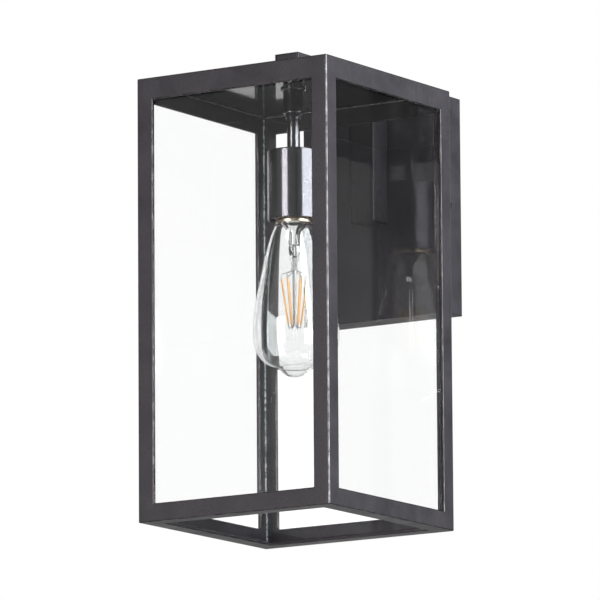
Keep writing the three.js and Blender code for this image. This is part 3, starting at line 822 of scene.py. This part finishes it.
outside = [
    Vector((neck, glass_high.z)), Vector((neck, rim - 0.3 * MM)), Vector((neck + 1.5 * MM, rim - 0.9 * MM)),
]
spans = [
    ((0.62, 0.09), (0.74, 0.28), (0.87, 0.43)),
    ((0.97, 0.56), (1.03, 0.68), (0.97, 0.79)),
    ((0.92, 0.87), (0.66, 0.93), (0.38, 0.945)),
    ((0.22, 1.0), (0.0, 1.0)),
]
for span in spans:
    outside += bezier([outside[-1]] + [(lamp_radius * r, rim - bulb_height * z) for r, z in span], 18)
inside = []
for i, point in enumerate(outside):
    along = (outside[min(i + 1, len(outside) - 1)] - outside[max(i - 1, 0)]).normalized()
    inside.append(Vector((max(point.x + along.y * glass_wall, 0), point.y - along.x * glass_wall)))
inside[0] = Vector((neck - glass_wall, glass_high.z))
inside[-1] = Vector((0, tip + glass_wall))
envelope = lathe("lamp_envelope", [tuple(p) for p in outside + inside[::-1]], lamp_axis, 160)
lamp_envelope = new_object("lamp_envelope", envelope, bulb_glass)
lamp_envelope.data.shade_smooth()
place(lamp_envelope, "lamp", "lamp_glass", "lamp_glass")


def base_shell():
    """E26 shell: a skirt, then a rolled helical thread, then the shoulder, as one closed skin."""
    bm = bmesh.new()
    segments, levels = 96, 72
    skirt_top = rim + 3.6 * MM
    thread_end = base_high.z - 2.2 * MM
    outer, inner = [], []
    for k in range(levels + 1):
        z = skirt_top + (thread_end - skirt_top) * k / levels
        fade = min(1, k / 6, (levels - k) / 6)
        rows = ([], [])
        for i in range(segments):
            angle = 2 * math.pi * i / segments
            wave = math.cos(2 * math.pi * z / THREAD_PITCH - angle)
            radius = base_radius - 0.45 * MM + 0.45 * MM * wave * fade
            for row, shift in zip(rows, (0, -0.35 * MM)):
                row.append((radius + shift, angle, z))
        outer.append(rows[0])
        inner.append(rows[1])

    def ring(radius, z):
        return [(radius, 2 * math.pi * i / segments, z) for i in range(segments)]

    below = [
        ring(skirt_radius - 0.5 * MM, rim),
        ring(skirt_radius, rim + 0.15 * MM),
        ring(skirt_radius, skirt_top - 0.9 * MM),
        ring(skirt_radius - 0.3 * MM, skirt_top - 0.4 * MM),
    ]
    above = [
        ring(base_radius - 1.2 * MM, base_high.z - 1.0 * MM),
        ring(base_radius - 2.6 * MM, base_high.z),
        ring(base_radius - 4.0 * MM, base_high.z),
        ring(base_radius - 4.0 * MM, base_high.z - 0.5 * MM),
        ring(base_radius - 2.8 * MM, base_high.z - 0.5 * MM),
        ring(base_radius - 1.6 * MM, base_high.z - 1.5 * MM),
    ]
    under = [ring(skirt_radius - 0.6 * MM, skirt_top - 0.9 * MM), ring(skirt_radius - 0.6 * MM, rim)]
    skin = below + outer + above + inner[::-1] + under
    rings = [
        [
            bm.verts.new((lamp_axis[0] + r * math.cos(a), lamp_axis[1] + r * math.sin(a), z))
            for r, a, z in row
        ]
        for row in skin
    ]
    for first, second in zip(rings, rings[1:] + rings[:1]):
        for i in range(segments):
            j = (i + 1) % segments
            bm.faces.new((first[i], first[j], second[j], second[i]))
    return to_mesh(bm, "lamp_screw_shell")


screw_shell = new_object("lamp_screw_shell", base_shell(), base_plating)
weighted(screw_shell)
place(screw_shell, "lamp", "brass", "lamp_base")

insulator_low, insulator_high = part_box("lamp_insulator")
contact_low, contact_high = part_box("lamp_contact")
insulator_radius = (insulator_high.x - insulator_low.x) / 2
turned_piece(
    "lamp_vitrite", [
        (0, insulator_low.z), (insulator_radius, insulator_low.z),
        (insulator_radius * 0.82, insulator_low.z + 0.9 * MM), (5 * MM, insulator_high.z),
        (0, insulator_high.z),
    ], black_glass, "black_glass", "lamp_insulator", body="lamp", radius=0.5 * MM, segments=64,
)
turned_piece(
    "lamp_solder_contact", [
        (0, contact_low.z), (4.4 * MM, contact_low.z), (3.6 * MM, contact_high.z), (0, contact_high.z),
    ], zinc, "zinc_steel", "lamp_contact", body="lamp", radius=0.4 * MM, segments=48,
)

# Glass mount: a flared tube, pinched shut below, drawn out into the rod the sticks stand round
mount_top = mount_high.z
mount_end = rim - 25.6 * MM
rod_end = mount_low.z
pinch = mount_end + 8 * MM
flare = neck - glass_wall - 0.4 * MM
mount_outline = [
    (flare, mount_top), (5.4 * MM, mount_top - 6.5 * MM), (4.3 * MM, mount_top - 10.5 * MM),
    (4.3 * MM, mount_end + 3.5 * MM), (1.5 * MM, mount_end), (1.3 * MM, rod_end), (0, rod_end),
    (0, pinch), (3.2 * MM, pinch + 1.5 * MM), (3.2 * MM, mount_top - 10.5 * MM),
    (4.4 * MM, mount_top - 6.3 * MM), (flare - 0.9 * MM, mount_top),
]
mount_mesh = lathe("stem", rounded(mount_outline, 1.2 * MM, 6), lamp_axis, 64)
mount = new_object("lamp_stem_glass", mount_mesh, bulb_glass)
mount.data.shade_smooth()
place(mount, "lamp", "lamp_glass", "lamp_mount")

stick_count = 6
stick_boxes = [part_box(f"filament_{i + 1}") for i in range(stick_count)]
stick_top = max(b[1].z for b in stick_boxes)
stick_bottom = min(b[0].z for b in stick_boxes)
top_spread = 9.8 * MM
bottom_spread = 4.4 * MM


def around(index, spread, z):
    angle = (index + 0.5) * 2 * math.pi / stick_count
    return Vector((lamp_axis[0] + spread * math.cos(angle), lamp_axis[1] + spread * math.sin(angle), z))


cap = 0.055  # share of a stick's length that is a metal cap
tip_share = 0.004
phosphor_radius = 0.75 * MM
cap_radius = 0.5 * MM
cap_slot = 1
for i in range(stick_count):
    start = around(i, top_spread, stick_top)
    end = around(i, bottom_spread, stick_bottom)
    bm = bmesh.new()
    along = (cap * 0.8, cap, 0.3, 0.6, 1 - cap, 1 - cap * 0.8)
    strand(bm, [start.lerp(end, t) for t in along], phosphor_radius)
    phosphor_faces = len(bm.faces)
    for a, b in ((0.0, cap), (1 - cap, 1.0)):
        strand(bm, [start.lerp(end, t) for t in (a, a + tip_share, b - tip_share, b)], cap_radius)
    bm.faces.ensure_lookup_table()
    for face in bm.faces[phosphor_faces:]:
        face.material_index = cap_slot
    stick = new_object(f"filament_stick_{i + 1}", to_mesh(bm, "stick"), phosphor, wire_metal)
    stick.data.shade_smooth()
    place(stick, "lamp", "phosphor", f"filament_{i + 1}")

# Support wires: down through the mount, out to the stick tops, and a spider at the rod's foot
bm = bmesh.new()
wire_radius = 0.28 * MM
for i in range(stick_count):
    strand(bm, smooth_route([
        around(i, 3.2 * MM, mount_end + 4.5 * MM), around(i, 3.3 * MM, mount_end + 0.5 * MM),
        around(i, 1.9 * MM, mount_end - 4 * MM), around(i, 2.6 * MM, stick_top + 4.2 * MM),
        around(i, top_spread * 0.7, stick_top + 2.6 * MM), around(i, top_spread * 0.97, stick_top + 1.8 * MM),
        around(i, top_spread, stick_top + 0.05 * MM),
    ]), wire_radius, 8)
    strand(bm, smooth_route([
        around(i, bottom_spread, stick_bottom), around(i, bottom_spread * 0.9, stick_bottom - 1.2 * MM),
        around(i, 1.2 * MM, stick_bottom + 1.2 * MM),
    ]), wire_radius, 8)
feed = new_object("lamp_support_wires", to_mesh(bm, "wires"), wire_metal)
feed.data.shade_smooth()
place(feed, "lamp", "zinc_steel", "lamp_wire_a", "lamp_wire_b")

# ---------------------------------------------------------------- CAD nodes that stay as they are

carried = {
    "zinc_steel": (zinc, ["mounting_bracket", "roof_nipple", "nipple_nut", "nipple_washer", "socket_nut",
                          "socket_bridge", "terminal_screw_neutral"]),
    "brass": (brass, ["centre_contact", "terminal_screw_live"]),
    "gasket": (rubber, ["roof_gasket"]),
    "porcelain": (porcelain, ["socket_body"]),
    "lead_black": (lead_black, ["lead_live"]),
    "lead_white": (lead_white, ["lead_neutral"]),
    "earth_green": (lead_green, ["lead_earth"]),
    "connector_orange": (orange, ["wire_connector_live", "wire_connector_neutral"]),
}
for slot, (shader, names) in carried.items():
    for name in names:
        nodes[name].data.materials.clear()
        nodes[name].data.materials.append(shader.material)

# ---------------------------------------------------------------- floor, light and camera

floor_radius = 12
floor_level = -4.5  # low, so that cameras below the lantern stay above it
bm = bmesh.new()
bmesh.ops.create_circle(bm, cap_ends=True, segments=96, radius=floor_radius)
bmesh.ops.translate(bm, verts=bm.verts, vec=(0, 0, floor_level))
floor_shader = plastic("floor", srgb(236, 236, 236), srgb(242, 242, 242), 0.6, 0.8, 3, 0.02)
floor = new_object("floor", to_mesh(bm, "floor"), floor_shader)

world = bpy.data.worlds.new("studio")
scene.world = world
world.use_nodes = True
world.cycles.sampling_method = "NONE"
tree = world.node_tree
tree.nodes.clear()
world_output = tree.nodes.new("ShaderNodeOutputWorld")
background = tree.nodes.new("ShaderNodeBackground")
tree.links.new(background.outputs["Background"], world_output.inputs["Surface"])
background.inputs["Color"].default_value = (1, 1, 1, 1)


def world_math(operation, first, second):
    node = tree.nodes.new("ShaderNodeMath")
    node.operation = operation
    for socket, value in zip(node.inputs, (first, second)):
        if hasattr(value, "is_linked"):
            tree.links.new(value, socket)
        else:
            socket.default_value = value
    return node.outputs[0]


def either(switch, off, on):
    """off where switch is 0 and on where it is 1."""
    return world_math("ADD", world_math("MULTIPLY", world_math("SUBTRACT", 1.0, switch), off),
                      world_math("MULTIPLY", switch, on))


# White backdrop behind the lantern and a dim room round it, which mirrors see. Straight, mirrored and
# scattered light each have a strength of their own
backdrop_direction = (-0.542, 0.840, 0.0)
room_levels = ((0.40, 0.30), (0.55, 0.06), (0.82, 0.06), (0.92, 0.90))
seen_directly = 1.0
seen_through_glass = 1.2
scattered_level = 0.34
any_bounce = 0.5
rays = tree.nodes.new("ShaderNodeLightPath").outputs
ray_direction = tree.nodes.new("ShaderNodeTexCoord").outputs["Generated"]
facing = tree.nodes.new("ShaderNodeVectorMath")
facing.operation = "DOT_PRODUCT"
facing.inputs[1].default_value = backdrop_direction
tree.links.new(ray_direction, facing.inputs[0])
backdrop = tree.nodes.new("ShaderNodeMapRange")
for socket, value in (("From Min", -1.0), ("From Max", 1.0)):
    backdrop.inputs[socket].default_value = value
tree.links.new(facing.outputs["Value"], backdrop.inputs["Value"])
room = tree.nodes.new("ShaderNodeValToRGB")
while len(room.color_ramp.elements) < len(room_levels):
    room.color_ramp.elements.new(0.5)
for element, (position, level) in zip(room.color_ramp.elements, room_levels):
    element.position = position
    element.color = (level, level, level, 1)
tree.links.new(backdrop.outputs["Result"], room.inputs["Fac"])
mirrored = world_math("GREATER_THAN", rays["Glossy Depth"], any_bounce)
scattered = world_math("GREATER_THAN", rays["Diffuse Depth"], any_bounce)
straight = either(rays["Is Transmission Ray"], seen_directly, seen_through_glass)
seen = either(mirrored, straight, room.outputs["Color"])
tree.links.new(either(scattered, seen, scattered_level), background.inputs["Strength"])

aim = Vector((0, lamp_axis[1], (bottom + roof_top) / 2))


def direction(azimuth, elevation):
    a, e = math.radians(azimuth), math.radians(elevation)
    return Vector((math.sin(a) * math.cos(e), -math.cos(a) * math.cos(e), math.sin(e)))


def softbox(name, azimuth, elevation, distance, width, height, watts, colour=(1, 1, 1)):
    light = bpy.data.lights.new(name, "AREA")
    light.shape = "RECTANGLE"
    light.size = width
    light.size_y = height
    light.energy = watts
    light.color = colour
    lamp = bpy.data.objects.new(name, light)
    scene.collection.objects.link(lamp)
    lamp.location = aim + direction(azimuth, elevation) * distance
    lamp.rotation_mode = "QUATERNION"
    lamp.rotation_quaternion = direction(azimuth, elevation).to_track_quat("Z", "Y")
    lamp.visible_camera = False


softbox("front_strip", -7, -4, 2.5, 1.05, 1.8, 60, (1.0, 0.965, 0.955))
softbox("front_high", -6, 47, 2.5, 0.55, 0.5, 8)
softbox("side_strip", 98, 22, 2.5, 2.6, 2.4, 182, (0.955, 0.985, 1.0))
softbox("top_fill", 30, 70, 3.0, 3.0, 3.0, 25)

camera_data = bpy.data.cameras.new("camera")
camera_data.lens = 472.0
camera_data.sensor_width = 36
camera_data.clip_end = 60
camera = bpy.data.objects.new("camera", camera_data)
scene.collection.objects.link(camera)
scene.camera = camera
target = Vector((5.04 * MM, -134.7 * MM, -83.43 * MM))
towards = direction(32.812, -9.814)
camera_distance = 5.7856
camera_roll = -0.392
camera.location = target + towards * camera_distance
camera.rotation_mode = "QUATERNION"
upright = towards.to_track_quat("Z", "Y")
camera.rotation_quaternion = Quaternion(towards, math.radians(camera_roll)) @ upright
scene.view_settings.view_transform = "Standard"
